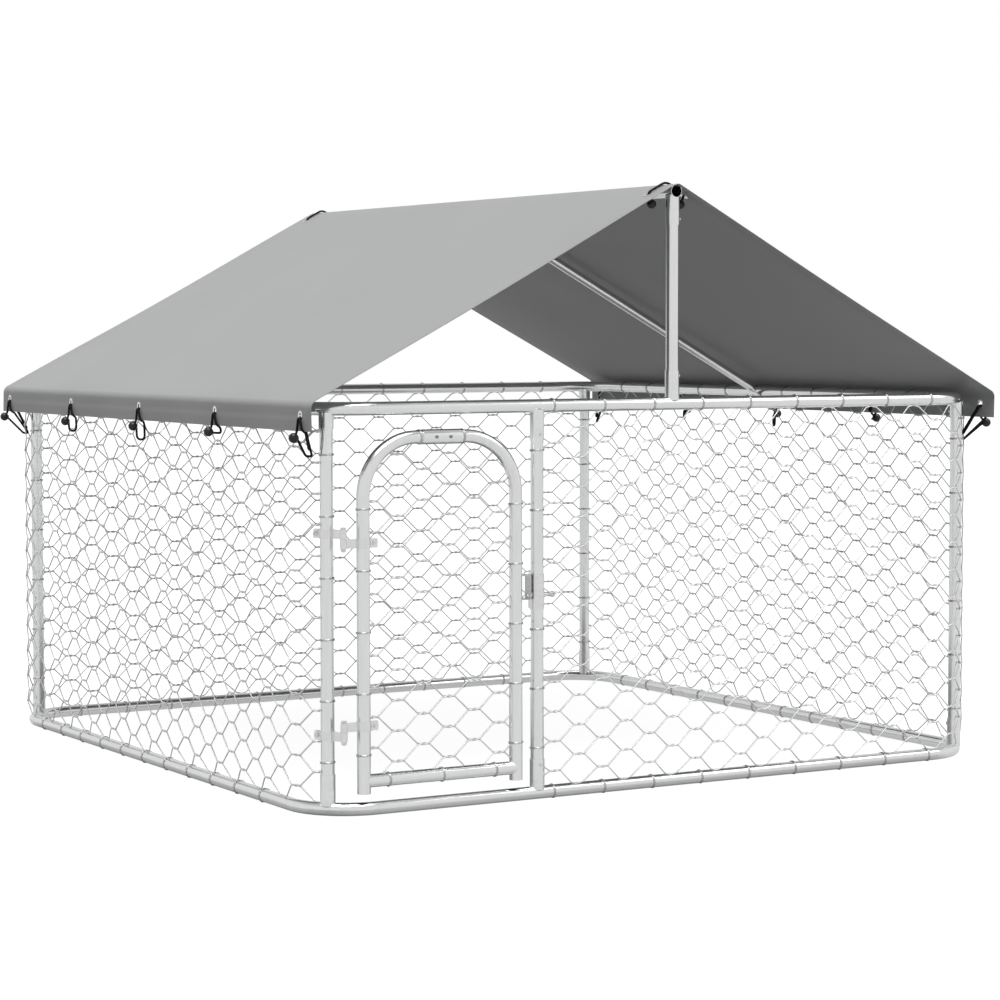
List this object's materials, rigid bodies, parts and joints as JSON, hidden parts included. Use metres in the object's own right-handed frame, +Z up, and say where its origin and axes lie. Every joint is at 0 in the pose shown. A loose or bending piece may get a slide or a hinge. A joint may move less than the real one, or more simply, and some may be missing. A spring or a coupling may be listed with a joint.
{
  "type": "dog_kennel_run",
  "caption": "Outdoor dog run of galvanised tube with hexagonal wire netting, an arched net door with slide bolt, and a grey pitched tarpaulin roof held by ball cords",
  "frame": {"origin": "middle of the run in plan, at ground level under the base ring", "axes": "+X runs to the right along the front, +Y runs from the front (door side) to the back, +Z is up"},
  "size_m": [2.0872, 2.018, 1.5109],
  "materials": {
    "galvanised_tube": "zinc-coated tube, satin with soft highlights",
    "bright_steel": "zinc-plated strip and fasteners",
    "net_wire": "galvanised thin wire",
    "tarp_cloth": "coated woven sheet, grey, slightly glossy",
    "eyelet_metal": "pressed bright eyelets",
    "elastic_cord": "black covered elastic cord",
    "ball_plastic": "black moulded balls"
  },
  "bodies": {
    "frame": {"base_corner_front_left": "galvanised_tube", "base_corner_front_right": "galvanised_tube", "base_corner_back_left": "galvanised_tube", "base_corner_back_right": "galvanised_tube", "base_rail_front": "galvanised_tube", "base_rail_back": "galvanised_tube", "base_rail_left": "galvanised_tube", "base_rail_right": "galvanised_tube", "corner_post_front_left": "galvanised_tube", "corner_post_front_right": "galvanised_tube", "corner_post_back_left": "galvanised_tube", "corner_post_back_right": "galvanised_tube", "jamb_post": "galvanised_tube", "top_corner_front_left": "galvanised_tube", "top_corner_front_right": "galvanised_tube", "top_corner_back_left": "galvanised_tube", "top_corner_back_right": "galvanised_tube", "top_rail_front": "galvanised_tube", "top_rail_back": "galvanised_tube", "top_rail_left": "galvanised_tube", "top_rail_right": "galvanised_tube", "ridge_post_front": "galvanised_tube", "ridge_post_back": "galvanised_tube", "ridge_pole": "galvanised_tube", "rafter_left": "galvanised_tube", "rafter_right": "galvanised_tube", "frame_screws": "bright_steel", "net_left": "net_wire", "net_right": "net_wire", "net_back": "net_wire", "net_front": "net_wire", "net_bend_front_left": "net_wire", "net_bend_front_right": "net_wire", "net_bend_back_left": "net_wire", "net_bend_back_right": "net_wire", "wall_ties": "net_wire", "tarpaulin": "tarp_cloth", "eyelets_left": "eyelet_metal", "eyelets_right": "eyelet_metal", "eyelets_ridge": "eyelet_metal", "cords_left": "elastic_cord", "cords_right": "elastic_cord", "cords_ridge": "elastic_cord", "cord_balls": "ball_plastic", "post_strap_upper": "bright_steel", "post_strap_lower": "bright_steel", "post_strap_bolts": "bright_steel", "hinge_pins": "bright_steel", "latch_collar": "bright_steel", "latch_collar_bolt": "bright_steel"},
    "door": {"door_arch_left": "galvanised_tube", "door_arch_right": "galvanised_tube", "door_splice": "galvanised_tube", "door_rivets": "bright_steel", "door_bottom_rail": "galvanised_tube", "door_net": "net_wire", "door_ties": "net_wire", "door_straps": "bright_steel", "latch_strike": "bright_steel"},
    "latch_bolt": {"latch_bolt": "bright_steel"}
  },
  "joints": [
    {"name": "door_swing", "type": "hinge", "parent": "frame", "child": "door", "pos_m": [-0.919, -0.984, 0.428], "axis": [0, 0, -1], "range_deg": [0, 135]},
    {"name": "latch_slide", "type": "slide", "parent": "frame", "child": "latch_bolt", "axis": [-1, 0, 0], "range_m": [0, 0.014]}
  ]
}
